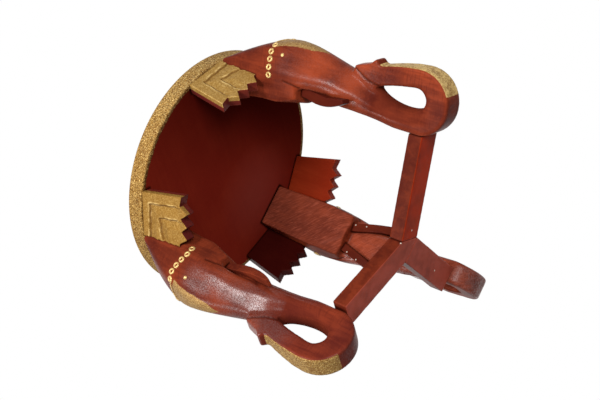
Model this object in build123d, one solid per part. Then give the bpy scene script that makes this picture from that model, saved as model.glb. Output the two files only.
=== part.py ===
from build123d import *
import math
import os

# Carved elephant stool: a round seat on three legs, each one an elephant's head whose
# trunk runs down and curls forward into a loop that stands on the floor.
# Millimetres, +Z up, origin on the floor under the middle of the stool's footprint.
# "Radius" is measured from the seat's axis along a leg's heading, "depth" down from the
# seat's underside, and widths are across the leg.

# Seat and overall size
seat_diameter = 300.0
seat_thickness = 21.0
seat_edge_chamfer = 1.5
stool_height = 320.0
side_leg_heading = 26.5            # the front leg points to -Y, the side legs near +X and -X

# Neck: where the leg meets the seat
leg_back_radius = 110.5
leg_back_lean = 8.0                # how far the flat back leans out by the brow
neck_width = 55.0
neck_front_width = 51.0

# Head
brow_depth = 80.0
brow_radius = 184.5
brow_width = 68.0
forehead_width = 37.0
cheek_radius = 151.5
chin_depth = 117.5
chin_radius = 130.0
chin_width = 61.0
chin_undercut = 7.0
forehead_radius = 187.0
forehead_tip_width = 14.0
jaw_corner_depth = 84.0
jaw_middle_depth = 115.0

# Trunk
trunk_root_depth = 150.0
trunk_root_width = 49.0
trunk_root_back = 132.5
trunk_root_front = 178.5
trunk_waist_depth = 180.0
trunk_waist_width = 41.0
trunk_waist_back = 130.5
trunk_waist_front = 170.5
trunk_ridge_width = 14.0
trunk_end_width = 31.0
trunk_end_rise = 48.0              # the trunk starts to narrow this far above the loop's centre

# Loop at the trunk's end, which is the foot
loop_radius = 36.0
loop_centre_radius = 160.5
loop_width = 27.5
loop_outer_wall = 21.5
loop_inner_wall = 24.3
loop_bottom_wall = 27.0
hole_height = 67.0
foot_flat = 0.4
lip_depth = 203.0
lip_radius = 193.5
lip_step = 7.0
lip_width = 19.0
tip_rise = 27.0                    # how far the curled tip stands above the lip

# Ears
ear_length = 54.5
ear_thickness = 12.0
ear_start_angle = 10.8             # along the seat's rim, from the leg's own heading
ear_drop = 70.0
ear_tooth = 10.0
ear_flare = 13.0
ear_clearance = 0.3

# Tusks
tusk_length = 70.0
tusk_thickness = 10.5
tusk_depth = 11.0
tusk_splay = 15.0
tusk_gap = 17.5
tusk_seat_radius = 142.5
tusk_hook = 5.5                    # how far the tip bends outwards
tusk_socket = 3.0

# Stretcher
stretcher_width = 31.5
stretcher_height = 17.0
stretcher_clear_height = 26.5
stretcher_turn = 2.5
hub_offset = 9.5                   # the bars meet this far in front of the seat's axis

# Dowels between the seat and the legs
dowel_diameter = 10.0
dowel_length = 34.0
dowel_depth_in_seat = 12.0
dowel_spacing = 26.0
dowel_radius = 130.0
dowel_clearance = 0.15

# Worked out from them
seat_radius = seat_diameter / 2
leg_length = stool_height - seat_thickness
leg_reach = loop_centre_radius + loop_radius
shift_y = (leg_reach - seat_radius) / 2
loop_centre_depth = leg_length + foot_flat - loop_radius
trunk_back_radius = loop_centre_radius - loop_radius
tip_depth = lip_depth - tip_rise
hole_inner = trunk_back_radius + loop_inner_wall
hole_outer = leg_reach - loop_outer_wall
hole_bottom = loop_centre_depth + loop_radius - loop_bottom_wall
hole_top = hole_bottom - hole_height
LEG_HEADINGS = {"front": -90.0, "right": side_leg_heading, "left": 180.0 - side_leg_heading}
STRETCHER_HEADINGS = {"front": -90.0, "right": 30.0, "left": 150.0}
HANDS = {"a": 1, "b": -1}
BROAD = 80.0                       # past every side of a leg
SPARE = 4.0                        # how far the block stands out before the side view is cut


def side_view(*points):
    """Points (radius, depth) of a leg's side view as sketch points (radius, height)."""
    return [(radius, leg_length - depth) for radius, depth in points]


def extrude_side(edges):
    """A solid of the side view, broader than the leg, centred on its plane."""
    return extrude(Plane.XZ * make_face(edges), amount=BROAD, both=True)


def widen(near, near_width, far, far_width):
    """Carry the line from far to near on by SPARE, and give the new end and its width."""
    direction = math.copysign(SPARE, near - far)
    slope = (near_width - far_width) / (near - far)
    return near + direction, max(near_width + slope * direction, 1.0)


def station(depth, back, back_width, cheek, cheek_width, front, front_width):
    """A six-sided cross section of the leg: narrow back, broad cheeks, narrow front."""
    back_end, back_end_width = widen(back, back_width, cheek, cheek_width)
    front_end, front_end_width = widen(front, front_width, cheek, cheek_width)
    half_outline = [
        (back_end, back_end_width / 2),
        (cheek, cheek_width / 2),
        (front_end, front_end_width / 2),
    ]
    other_half = [(radius, -half) for radius, half in reversed(half_outline)]
    outline = Polyline(*half_outline, *other_half, close=True)
    return Plane.XY.offset(leg_length - depth) * make_face(outline)


def head_and_trunk_block():
    """The facets of the cheeks, forehead and trunk, before the side view is cut."""
    head_back = leg_back_radius + leg_back_lean
    above_loop = loop_centre_depth - trunk_end_rise
    beside_hole = loop_centre_depth - 13
    end = leg_length - 9
    sections = [
        station(0, leg_back_radius, neck_width, dowel_radius, neck_width,
                seat_radius, neck_front_width),
        station(brow_depth, head_back, 0.86 * brow_width, cheek_radius, brow_width,
                brow_radius, forehead_width),
        station(chin_depth, head_back, 0.86 * chin_width, cheek_radius + 4, chin_width,
                forehead_radius, forehead_tip_width),
        station(trunk_root_depth, trunk_root_back, 0.84 * trunk_root_width,
                cheek_radius + 4, trunk_root_width, trunk_root_front, trunk_ridge_width),
        station(trunk_waist_depth, trunk_waist_back, 0.84 * trunk_waist_width,
                cheek_radius - 1, trunk_waist_width, trunk_waist_front, trunk_ridge_width),
        station(above_loop, trunk_back_radius + 1, 0.88 * trunk_end_width,
                trunk_back_radius + 19, 1.15 * trunk_end_width,
                hole_inner + 7, trunk_ridge_width),
        station(beside_hole, trunk_back_radius, 0.9 * trunk_end_width,
                trunk_back_radius + 13, trunk_end_width, hole_inner, trunk_ridge_width),
        station(end, trunk_back_radius, loop_width, trunk_back_radius + 15, loop_width,
                hole_inner + 20, loop_width),
    ]
    return loft(sections, ruled=True)


def trunk_profile():
    """The side view of the head and trunk, down to where the trunk joins its loop."""
    forehead = Spline(
        *side_view(
            (seat_radius, 0),
            (seat_radius + 21, 0.52 * brow_depth),
            (brow_radius, brow_depth),
            (forehead_radius, chin_depth - 10),
            (trunk_root_front, trunk_root_depth),
            (trunk_waist_front, trunk_waist_depth),
            (hole_inner + 11, hole_top + 8),
            (hole_inner, loop_centre_depth - 14),
        )
    )
    low = math.radians(35)
    loop_back = (
        loop_centre_radius - loop_radius * math.cos(low),
        loop_centre_depth + loop_radius * math.sin(low),
    )
    trunk_end = Polyline(
        *side_view(
            (hole_inner, loop_centre_depth - 14),
            (hole_inner + 5, loop_centre_depth + 4),
            loop_back,
            (trunk_back_radius, loop_centre_depth),
            (trunk_back_radius, loop_centre_depth - 30),
        )
    )
    trunk_back = Spline(
        *side_view(
            (trunk_back_radius, loop_centre_depth - 30),
            (trunk_waist_back, trunk_waist_depth),
            (trunk_root_back, trunk_root_depth),
            (chin_radius + chin_undercut, chin_depth),
        )
    )
    head_back = Polyline(
        *side_view(
            (chin_radius + chin_undercut, chin_depth),
            (leg_back_radius + leg_back_lean + 2, chin_depth),
            (leg_back_radius + leg_back_lean, brow_depth - 15),
            (leg_back_radius, 0),
            (seat_radius, 0),
        )
    )
    return forehead + trunk_end + trunk_back + head_back


def jaw_corner(side):
    """What is bevelled off one back corner of the head, from the cheek down to the chin."""
    flat_radius = leg_back_radius + leg_back_lean + 1
    high = Vector(flat_radius, side * chin_width / 2, leg_length - jaw_corner_depth)
    middle = Vector(flat_radius, side * 3, leg_length - jaw_middle_depth)
    chin = Vector(chin_radius + 1, side * chin_width / 2, leg_length - chin_depth)
    outwards = (chin - high).cross(middle - high).normalized() * side
    waste = Box(BROAD, 3 * BROAD, 3 * BROAD, align=(Align.CENTER, Align.CENTER, Align.MIN))
    waste = Plane(origin=high, z_dir=outwards) * waste
    head_only = Pos(leg_back_radius, 0, leg_length - chin_depth) * Box(
        BROAD, 2 * BROAD, chin_depth, align=(Align.CENTER, Align.CENTER, Align.MIN)
    )
    return waste & head_only


def loop_profile():
    """The side view of the trunk's end: round the foot and up to the lip and the tip."""
    lip_base = (lip_radius - 0.9 * lip_step, lip_depth + lip_step)
    outer = Spline(
        *side_view(
            lip_base,
            (leg_reach - 4, loop_centre_depth - 33),
            (leg_reach, loop_centre_depth),
        ),
        tangents=[(0.35, -1), (0, -1)],
    )
    foot = ThreePointArc(
        *side_view(
            (leg_reach, loop_centre_depth),
            (loop_centre_radius, loop_centre_depth + loop_radius),
            (trunk_back_radius, loop_centre_depth),
        )
    )
    inside = Polyline(
        *side_view(
            (trunk_back_radius, loop_centre_depth),
            (hole_inner - 8, loop_centre_depth - 20),
            (hole_inner + 4, hole_top),
            (trunk_waist_front - 4, tip_depth + 12),
            (trunk_waist_front + 2, tip_depth),
            (lip_radius - 13, tip_depth),
            (lip_radius - 9, tip_depth + tip_rise / 2),
            (lip_radius - lip_step, lip_depth - lip_step),
            (lip_radius, lip_depth),
            lip_base,
        )
    )
    return outer + foot + inside


def hole_profile():
    """The narrow drop-shaped hole between the trunk and its curled end."""
    top = (hole_inner + 14, hole_top)
    outer_end = (hole_outer, hole_bottom - 0.22 * hole_height)
    inner_end = (hole_inner, hole_bottom - 0.33 * hole_height)
    middle = (hole_outer + hole_inner) / 2
    outer_wall = Spline(*side_view(top, (hole_outer - 4.5, hole_bottom - 0.61 * hole_height), outer_end))
    bottom = Spline(
        *side_view(
            outer_end,
            (hole_outer - 4.5, hole_bottom - 3),
            (middle, hole_bottom),
            (hole_inner + 3.5, hole_bottom - 9),
            inner_end,
        )
    )
    inner_wall = Spline(*side_view(inner_end, (hole_inner + 4.5, hole_bottom - 0.75 * hole_height), top))
    return outer_wall + bottom + inner_wall


def loop_front_view():
    """The loop seen from the front: narrow at tip and lip, full width round the foot."""
    half_outline = [
        (lip_width / 2, leg_length - tip_depth + 5),
        (lip_width / 2, leg_length - lip_depth - lip_step),
        (loop_width / 2, leg_length - loop_centre_depth + 15),
        (loop_width / 2, -BROAD),
    ]
    other_half = [(-half, height) for half, height in reversed(half_outline)]
    face = Plane.YZ * make_face(Polyline(*half_outline, *other_half, close=True))
    return extrude(face, amount=leg_reach + BROAD)


def tusk_plane(side):
    """Mid-plane of one tusk: sketch X is the radius and sketch Y runs up from the chin."""
    splay = math.radians(tusk_splay)
    return Plane(
        origin=(0, side * (tusk_gap + tusk_thickness) / 2, leg_length - chin_depth),
        x_dir=(1, 0, 0),
        z_dir=(0, -math.cos(splay), -side * math.sin(splay)),
    )


def tusk_seat():
    """The tusk's front edge, where it lies on the trunk: straight, then hooked outwards."""
    return [
        (tusk_seat_radius, 0),
        (tusk_seat_radius, -0.6 * tusk_length),
        (tusk_seat_radius + tusk_hook, -tusk_length),
        (tusk_seat_radius + tusk_hook - 4, -tusk_length - 2),
    ]


def make_tusk(side):
    """One tusk in the leg's frame, its root let into the chin and its free edge bowed."""
    back = tusk_seat_radius - tusk_depth
    seat_edge = tusk_seat()
    straight = Polyline(
        (back, -0.15 * tusk_length),
        (back, tusk_socket),
        (tusk_seat_radius, tusk_socket),
        *seat_edge,
    )
    bow = ThreePointArc(
        seat_edge[-1],
        (back + 0.5, -0.6 * tusk_length),
        (back, -0.15 * tusk_length),
    )
    return extrude(tusk_plane(side) * make_face(straight + bow), amount=tusk_thickness / 2, both=True)


def tusk_clearance(side):
    """What is carved away outside and behind a tusk, down to the faces that it seats on."""
    seat_edge = tusk_seat()
    outline = Polyline(
        (tusk_seat_radius - BROAD, 0),
        *seat_edge,
        (tusk_seat_radius - BROAD, seat_edge[-1][1]),
        close=True,
    )
    plane = tusk_plane(side).offset(side * tusk_thickness / 2)
    return extrude(plane * make_face(outline), amount=-side * BROAD)


def dowel(side, clearance=0.0):
    """A dowel partly in the seat and partly in the leg, or with a clearance its hole."""
    column = Cylinder(
        dowel_diameter / 2 + clearance,
        dowel_length,
        align=(Align.CENTER, Align.CENTER, Align.MAX),
    )
    return Pos(dowel_radius, side * dowel_spacing / 2, leg_length + dowel_depth_in_seat) * column


def make_leg():
    """One leg in its own frame: +X outwards from the seat's axis, its top under the seat."""
    leg = head_and_trunk_block() & extrude_side(trunk_profile())
    leg += extrude_side(loop_profile()) & loop_front_view()
    leg -= extrude_side(hole_profile())
    leg -= Pos(0, 0, -BROAD / 2) * Box(3 * leg_reach, 2 * BROAD, BROAD)
    for side in HANDS.values():
        leg -= jaw_corner(side)
        leg -= make_tusk(side)
        leg -= tusk_clearance(side)
        leg -= dowel(side, dowel_clearance)
    return leg


def ear_outline():
    """The board seen from outside: X from its leg end to its far end, Y up from below."""
    half = ear_length / 2
    valley = ear_drop - ear_tooth
    teeth = 3
    pitch = (ear_length - 8) / teeth
    points = [(half, 0), (half + ear_flare, -valley - 2)]
    for tooth in range(teeth):
        points.append((half - tooth * pitch, -valley + 1 - tooth))
        points.append((half - (tooth + 0.45) * pitch, -ear_drop))
    points.append((half - teeth * pitch, -valley + 2))
    points.append((-half, -valley + 2))
    points.append((-half, 0))
    return Polyline(*points, close=True)


def make_ear(side):
    """A flat board that hangs from the rim beside the leg, toothed along its lower edge."""
    half_angle = math.asin(ear_length / 2 / seat_radius)
    heading = math.radians(ear_start_angle) + half_angle
    face_radius = seat_radius * math.cos(half_angle)
    outwards = Vector(math.cos(heading), math.sin(heading), 0)
    along_rim = Vector(-math.sin(heading), math.cos(heading), 0)
    face_plane = Plane(
        origin=outwards * face_radius + Vector(0, 0, leg_length),
        x_dir=along_rim,
        z_dir=outwards,
    )
    ear = extrude(face_plane * make_face(ear_outline()), amount=-ear_thickness)
    neck_half = neck_width / 2 + ear_clearance
    brow_half = brow_width / 2 + ear_clearance
    beside_leg = Polyline(
        (0, leg_length + 1),
        (neck_half, leg_length + 1),
        (neck_half, leg_length),
        (brow_half, leg_length - brow_depth),
        (0, leg_length - brow_depth),
        close=True,
    )
    ear -= extrude(Plane.YZ * make_face(beside_leg), amount=leg_reach)
    return ear if side > 0 else mirror(ear, about=Plane.XZ)


def make_seat():
    """The round seat, with the dowel holes in its underside."""
    disc = Pos(0, 0, leg_length) * Cylinder(
        seat_radius, seat_thickness, align=(Align.CENTER, Align.CENTER, Align.MIN)
    )
    seat = chamfer(disc.edges().filter_by(GeomType.CIRCLE), seat_edge_chamfer)
    for heading in LEG_HEADINGS.values():
        for side in HANDS.values():
            seat -= Rot(0, 0, heading) * dowel(side, dowel_clearance)
    return seat


def make_stretcher_bar(name):
    """One bar of the Y between the legs; the front one has the point that fills the middle."""
    half = stretcher_width / 2
    butt = half / math.sqrt(3)
    outline = [(butt, half), (butt, -half), (seat_radius, -half), (seat_radius, half)]
    if name == "front":
        outline.insert(1, (-2 * butt, 0))
    bar = extrude(make_face(Polyline(*outline, close=True)), amount=stretcher_height)
    heading = STRETCHER_HEADINGS[name] + stretcher_turn
    bar = Pos(0, -hub_offset, stretcher_clear_height) * Rot(0, 0, heading) * bar
    past_leg = Pos(trunk_back_radius, 0, 0) * Box(
        BROAD, 3 * BROAD, BROAD, align=(Align.MIN, Align.CENTER, Align.MIN)
    )
    return bar - Rot(0, 0, LEG_HEADINGS[name]) * past_leg


def save(name, solid):
    """Write one piece, moved so that the stool's footprint is centred on the origin."""
    placed = Pos(0, shift_y, 0) * solid
    placed.label = name
    export_step(placed, os.path.join("parts", name + ".step"))


os.makedirs("parts", exist_ok=True)
save("seat", make_seat())
leg = make_leg()
for name, heading in LEG_HEADINGS.items():
    turn = Rot(0, 0, heading)
    save("leg_" + name, turn * leg)
    save("stretcher_" + name, make_stretcher_bar(name))
    for hand, side in HANDS.items():
        save("ear_" + name + "_" + hand, turn * make_ear(side))
        save("tusk_" + name + "_" + hand, turn * make_tusk(side))
        save("dowel_" + name + "_" + hand, turn * dowel(side))
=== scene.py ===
import math

import bmesh
import bpy
import numpy
from mathutils import Matrix, Vector
from mathutils.bvhtree import BVHTree


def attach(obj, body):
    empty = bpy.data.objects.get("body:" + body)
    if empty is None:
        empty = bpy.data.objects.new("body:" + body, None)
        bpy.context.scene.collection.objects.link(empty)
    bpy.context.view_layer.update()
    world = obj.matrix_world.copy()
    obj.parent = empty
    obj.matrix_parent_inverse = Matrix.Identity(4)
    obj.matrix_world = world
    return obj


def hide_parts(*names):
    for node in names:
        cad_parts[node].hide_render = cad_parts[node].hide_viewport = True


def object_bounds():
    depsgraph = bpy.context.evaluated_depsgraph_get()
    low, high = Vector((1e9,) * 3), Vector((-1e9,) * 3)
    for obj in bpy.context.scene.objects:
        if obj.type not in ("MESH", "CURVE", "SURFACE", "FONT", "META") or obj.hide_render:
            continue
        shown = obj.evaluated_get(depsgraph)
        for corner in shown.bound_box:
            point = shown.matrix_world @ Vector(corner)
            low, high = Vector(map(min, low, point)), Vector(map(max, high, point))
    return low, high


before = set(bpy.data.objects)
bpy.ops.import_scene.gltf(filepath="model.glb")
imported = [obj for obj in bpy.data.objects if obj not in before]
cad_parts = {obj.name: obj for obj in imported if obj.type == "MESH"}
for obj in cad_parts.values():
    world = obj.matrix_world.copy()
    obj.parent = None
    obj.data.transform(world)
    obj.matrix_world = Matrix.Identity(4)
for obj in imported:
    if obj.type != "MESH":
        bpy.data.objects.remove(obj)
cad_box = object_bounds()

# Carved elephant stool. Metres, +Z up, origin on the floor under the middle of the stool.
# A leg's own frame has X outwards from the seat's axis, Y across the leg and Z up.

SEAT_CENTRE = Vector((0.0, 0.02325, 0.0))
SEAT_RADIUS = 0.150
SEAT_UNDERSIDE = 0.299
SEAT_TOP = 0.320
LEG_HEADINGS = {"front": -90.0, "right": 26.5, "left": 153.5}
HANDS = {"a": 1, "b": -1}
LOOP_CENTRE = (0.1605, 0.0356)      # radius and height of the curled trunk's centre
EAR_LENGTH = 0.0545
EAR_START = 10.8
EAR_TO_LEG = 0.0010                 # the closed gap between an ear and its leg

scene = bpy.context.scene


# ---------------------------------------------------------------------------
# Shader tools

class Wire:
    """A value in a material. Arithmetic on it adds the Math nodes."""

    def __init__(self, finish, socket):
        self.finish = finish
        self.socket = socket

    def math(self, operation, *others, clamp=False):
        settings = {"operation": operation, "use_clamp": clamp}
        return self.finish.node("ShaderNodeMath", settings, self, *others)

    def __add__(self, other):
        return self.math("ADD", other)

    def __sub__(self, other):
        return self.math("SUBTRACT", other)

    def __rsub__(self, other):
        return self.finish.node("ShaderNodeMath", {"operation": "SUBTRACT"}, other, self)

    def __mul__(self, other):
        return self.math("MULTIPLY", other)

    def __truediv__(self, other):
        return self.math("DIVIDE", other)

    __radd__ = __add__
    __rmul__ = __mul__

    def clamped(self):
        return self.math("ADD", 0.0, clamp=True)

    def absolute(self):
        return self.math("ABSOLUTE")

    def least(self, other):
        return self.math("MINIMUM", other)

    def most(self, other):
        return self.math("MAXIMUM", other)

    def root(self):
        return self.math("SQRT")

    def above(self, edge, softness):
        """0 below the edge and 1 above it, with a soft step between."""
        return ((self - edge) / softness + 0.5).clamped()

    def below(self, edge, softness):
        return 1.0 - self.above(edge, softness)


class Finish:
    """One procedural material, with its Principled shader."""

    def __init__(self, name, **constants):
        self.material = bpy.data.materials.new(name)
        self.material.use_nodes = True
        self.tree = self.material.node_tree
        self.tree.nodes.clear()
        self.output = self.tree.nodes.new("ShaderNodeOutputMaterial")
        self.shader = self.tree.nodes.new("ShaderNodeBsdfPrincipled")
        self.tree.links.new(self.shader.outputs["BSDF"], self.output.inputs["Surface"])
        for socket, value in constants.items():
            self.shader.inputs[socket.replace("_", " ")].default_value = value

    def node(self, kind, settings=None, *values, **named):
        """A node of any kind: its settings first, then its sockets' values or links.

        The setting "output" names the output that is handed back, if not the first.
        """
        new = self.tree.nodes.new(kind)
        for setting, value in (settings or {}).items():
            if setting != "output":
                setattr(new, setting, value)
        sockets = [socket for socket in new.inputs if socket.enabled]
        pairs = list(zip(sockets, values))
        pairs += [(new.inputs[name.replace("_", " ")], value) for name, value in named.items()]
        for socket, value in pairs:
            if isinstance(value, Wire):
                self.tree.links.new(value.socket, socket)
            elif value is not None:
                if socket.type == "RGBA" and len(value) == 3:
                    value = (*value, 1.0)
                socket.default_value = value
        outputs = [socket for socket in new.outputs if socket.enabled]
        wanted = (settings or {}).get("output")
        socket = new.outputs[wanted] if wanted else outputs[0]
        return Wire(self, socket)

    def coordinates(self, output="Object"):
        return self.node("ShaderNodeTexCoord", {"output": output})

    def split(self, vector):
        first = self.node("ShaderNodeSeparateXYZ", {"output": "X"}, vector)
        axes = first.socket.node.outputs
        return first, Wire(self, axes["Y"]), Wire(self, axes["Z"])

    def mapped(self, vector, turn=0.0, move=(0, 0, 0), scale=(1, 1, 1)):
        return self.node(
            "ShaderNodeMapping", {"vector_type": "POINT"}, vector,
            Location=move, Rotation=(0.0, 0.0, math.radians(turn)), Scale=scale,
        )

    def noise(self, vector, scale, detail=3.0, roughness=0.5, distortion=0.0):
        return self.node(
            "ShaderNodeTexNoise", None, Vector=vector,
            Scale=scale, Detail=detail, Roughness=roughness, Distortion=distortion,
        )

    def cells(self, vector, scale):
        return self.node("ShaderNodeTexVoronoi", None, Vector=vector, Scale=scale)

    def mark(self, name):
        """What the mesh notes under this name on each vertex."""
        return self.node("ShaderNodeAttribute", {"attribute_name": name, "output": "Fac"})

    def blend(self, factor, first, second, mode="MIX"):
        settings = {"data_type": "RGBA", "blend_type": mode, "clamp_factor": True}
        new = self.node("ShaderNodeMix", settings).socket.node
        colours = [socket for socket in new.inputs if socket.type == "RGBA"]
        factors = [socket for socket in new.inputs if socket.type == "VALUE"]
        for socket, value in ((factors[0], factor), (colours[0], first), (colours[1], second)):
            if isinstance(value, Wire):
                self.tree.links.new(value.socket, socket)
            elif socket.type == "RGBA":
                socket.default_value = (*value, 1.0)
            else:
                socket.default_value = value
        return Wire(self, [s for s in new.outputs if s.type == "RGBA"][0])

    def bump(self, height, distance, strength):
        return self.node(
            "ShaderNodeBump", None, Strength=strength, Distance=distance, Height=height,
        )

    def feed(self, **wires):
        for socket, value in wires.items():
            self.tree.links.new(value.socket, self.shader.inputs[socket.replace("_", " ")])
        return self.material


# ---------------------------------------------------------------------------
# Colours

DEEP_RED = (0.070, 0.0090, 0.0050)
RED_BROWN = (0.158, 0.0270, 0.0125)
ORANGE_RED = (0.310, 0.0490, 0.0160)
PALE_RED = (0.360, 0.0800, 0.0450)
# Pale red of the painted reflection on the front and left bars' downward faces.
SHEEN_RED = (0.450, 0.0850, 0.0550)
# Red of the painted light on one far ear and of the painted reflection under the right bar.
LIT_RED = (0.420, 0.0300, 0.0060)
UNDERSIDE_RED = (0.215, 0.0150, 0.0080)
# Paler red of the painted reflection near the left leg on the seat's underside.
UNDERSIDE_SHEEN = (0.240, 0.0360, 0.0250)
# The seat underside's darkest red, also the painted shadow on one far ear.
DARK_UNDERSIDE = (0.034, 0.0016, 0.0010)
# Near black of the painted shade in hollows, grooves and at joints.
NEARLY_BLACK = (0.014, 0.002, 0.001)
BROWN_SMEAR = (0.090, 0.030, 0.010)
PURPLE_BROWN = (0.085, 0.0100, 0.0120)
GOLD = (0.335, 0.180, 0.044)
PALE_GOLD = (0.840, 0.600, 0.240)
EAR_GOLD = (0.345, 0.192, 0.042)
OLD_GOLD = (0.230, 0.105, 0.030)
DARK_GOLD = (0.120, 0.045, 0.009)
DUSTY_GOLD = (0.300, 0.165, 0.070)
# A tint that multiplies gold into painted shade.
SHADE_TINT = (0.80, 0.74, 0.63)
BARE_WOOD = (0.52, 0.36, 0.20)
DARK_GRAIN = (0.38, 0.24, 0.12)
PIN_METAL = (0.72, 0.62, 0.52)
WORN_METAL = (0.45, 0.36, 0.28)


def arris_wear_and_hollow_shade(finish):
    """How far a place stands out as a worn arris, and how much painted shade falls in hollows and
    at joints, each 0 to 1.

    Weak marks, up to a fifth, count as none.
    """
    wear_or_hollow_shade = finish.mark("wear_or_hollow_shade")
    joint_shade = finish.mark("joint_shade")
    return (wear_or_hollow_shade * 1.25 - 0.25).clamped(), (wear_or_hollow_shade * -1.25 - 0.25).clamped().most(joint_shade)


def lacquer_parts(finish, point, along=0.12):
    """Colour, roughness and height of hand-polished red lacquer, its grain drawn out along Z, with
    painted shade in hollows and at joints.
    """
    grain_space = finish.node(
        "ShaderNodeVectorMath", {"operation": "MULTIPLY"}, point, (1.0, 1.0, along)
    )
    clouds = finish.noise(point, 16.0, 2.0)
    grain = finish.noise(grain_space, 420.0, 3.0, 0.6)
    flecks = finish.noise(point, 260.0, 2.0, 0.6)
    tone = finish.blend(clouds.above(0.56, 0.30), RED_BROWN, ORANGE_RED)
    tone = finish.blend(clouds.below(0.44, 0.24) * 0.7, tone, DEEP_RED)
    streaks = finish.noise(grain_space, 85.0, 3.0, 0.6, 0.6)
    tone = finish.blend(streaks.below(0.46, 0.14) * 0.45, tone, DEEP_RED)
    tone = finish.blend(streaks.above(0.58, 0.12) * 0.25, tone, ORANGE_RED)
    tone = finish.blend(grain.above(0.60, 0.22) * 0.35, tone, DEEP_RED)
    tone = finish.blend(flecks.above(0.62, 0.16) * 0.22, tone, ORANGE_RED)
    arris, hollow_shade = arris_wear_and_hollow_shade(finish)
    tone = finish.blend(arris * 0.35, tone, ORANGE_RED)
    # Painted shade, near black, in hollows and beside joints.
    tone = finish.blend(hollow_shade * 0.90, tone, NEARLY_BLACK)
    speckle = finish.noise(point, 800.0, 2.0, 0.7)
    waves = finish.noise(point, 55.0, 2.0)
    height = speckle * 0.5 + grain * 0.15 + waves * 1.6
    roughness = 0.22 + 0.12 * speckle + 0.10 * clouds
    return tone, roughness, height


def gold_parts(finish, point, hammer_scale, depth=1.0, bright=0.80, worn=0.45):
    """Colour, roughness and height of gold paint over a hammered or brushed ground."""
    dents = finish.cells(point, hammer_scale)
    patches = finish.noise(point, 46.0, 2.0, 0.6)
    mottle = finish.noise(point, hammer_scale * 0.40, 4.0, 0.62, 3.0)
    fine = finish.noise(point, hammer_scale * 0.95, 2.0, 0.6, 2.6)
    tone = finish.blend(patches.below(0.50, 0.22) * worn, GOLD, OLD_GOLD)
    tone = finish.blend(mottle.below(0.47, 0.09) * 0.85, tone, DARK_GOLD)
    tone = finish.blend(dents.above(0.62, 0.30) * 0.20, tone, DARK_GOLD)
    tone = finish.blend(fine.above(0.55, 0.09) * bright, tone, PALE_GOLD)
    height = dents * depth + fine * 0.5
    roughness = 0.36 + 0.20 * mottle
    return tone, roughness, height


def plain_lacquer(name, along=0.12, darker=0.0, underside=None, sides=0.0):
    """Lacquer for a small piece; one with an underside colour has a painted reflection on its
    downward faces and is darker on its other faces.
    """
    finish = Finish(name, Specular_IOR_Level=0.02)
    tone, roughness, height = lacquer_parts(finish, finish.coordinates(), along)
    if darker:
        tone = finish.blend(darker, tone, DEEP_RED)
    if underside:
        facing_up = finish.split(finish.coordinates("Normal"))[2]
        down = facing_up.below(-0.6, 0.3)
        reflection_patches = 0.55 + 0.45 * finish.noise(finish.coordinates(), 60.0, 2.0).above(0.46, 0.3)
        tone = finish.blend(sides * (1.0 - down), tone, DEEP_RED)
        # A painted reflection, in patches, on the downward faces.
        tone = finish.blend(down * reflection_patches * 0.90, tone, underside)
    return finish.feed(
        Base_Color=tone, Roughness=roughness, Normal=finish.bump(height, 0.00035, 0.6)
    )


def forehead_mask(radius, across, depth, wobble):
    """The gold tongue on the forehead, which narrows from the brow down."""
    half = (0.0190 - (depth - 0.076) * 0.235).least((0.1365 - depth) * 0.55)
    beside = across.absolute() + wobble - half
    brow = depth + wobble - across * across * 12.0
    return beside.below(0.0, 0.0009) * brow.above(0.0700, 0.0008) * radius.above(0.160, 0.001)


def strip_mask(radius, depth, wobble, facing_across, from_centre):
    """The gold strip on the outer face of the trunk's curled end."""
    strip = facing_across.absolute().below(0.62, 0.20) * from_centre.above(0.001, 0.002)
    strip = strip * (radius + wobble * 0.5).above(0.1745, 0.0008)
    return strip * (depth + wobble * 0.5).above(0.2085, 0.001)


def polish_mask(radius, depth, height_up, facing_across, inner_wall, low_polish):
    """Where a leg is polished: the head and trunk, but not the cheeks or inside the loop."""
    cheek = radius.below(0.156, 0.012) * depth.below(0.122, 0.016)
    polish = depth.above(0.086, 0.02) * radius.above(0.130, 0.012) * (1.0 - inner_wall)
    polish = polish * (1.0 - cheek) * height_up.above(0.045, 0.03).most(low_polish)
    off_side = facing_across.absolute().below(0.93, 0.10)
    return polish * off_side.most(height_up.above(0.06, 0.03))


def scratched(finish, tone, radius, across, height_up, facing_out):
    """Slanting scratches, and the side that faces the stool's middle paler all over, with its
    scratches palest.
    """
    slant = finish.node(
        "ShaderNodeCombineXYZ", None,
        across * 70.0 + height_up * 50.0, (height_up - across) * 620.0, radius * 70.0,
    )
    scratches = finish.noise(slant, 1.0, 2.0, 0.6)
    paler_inner_side = facing_out.below(-0.6, 0.5) * (0.30 + 0.5 * scratches.above(0.60, 0.14))
    tone = finish.blend(paler_inner_side, tone, PALE_RED)
    return finish.blend(scratches.below(0.40, 0.14) * 0.35, tone, DEEP_RED)


def leg_gold(finish, point, forehead, strip, strip_painted_light):
    """Gold paint, dusty on the forehead, and on the strip both stained and given paler patches of
    painted light.
    """
    tone, roughness, height = gold_parts(finish, point, 520.0, 1.0, 0.70)
    tone = finish.blend(forehead * 0.40, tone, DUSTY_GOLD)
    # Paler patches of painted light on the gold strip, stronger on some legs.
    strip_light_patches = finish.noise(point, 95.0, 3.0, 0.7, 1.0).above(0.48, 0.14)
    tone = finish.blend(strip * (0.25 + 0.75 * strip_light_patches) * strip_painted_light, tone, PALE_GOLD)
    stained = strip * finish.noise(point, 170.0, 3.0, 0.7, 2.0).below(0.46, 0.08)
    return finish.blend(stained * 0.60, tone, OLD_GOLD), roughness, height


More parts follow.
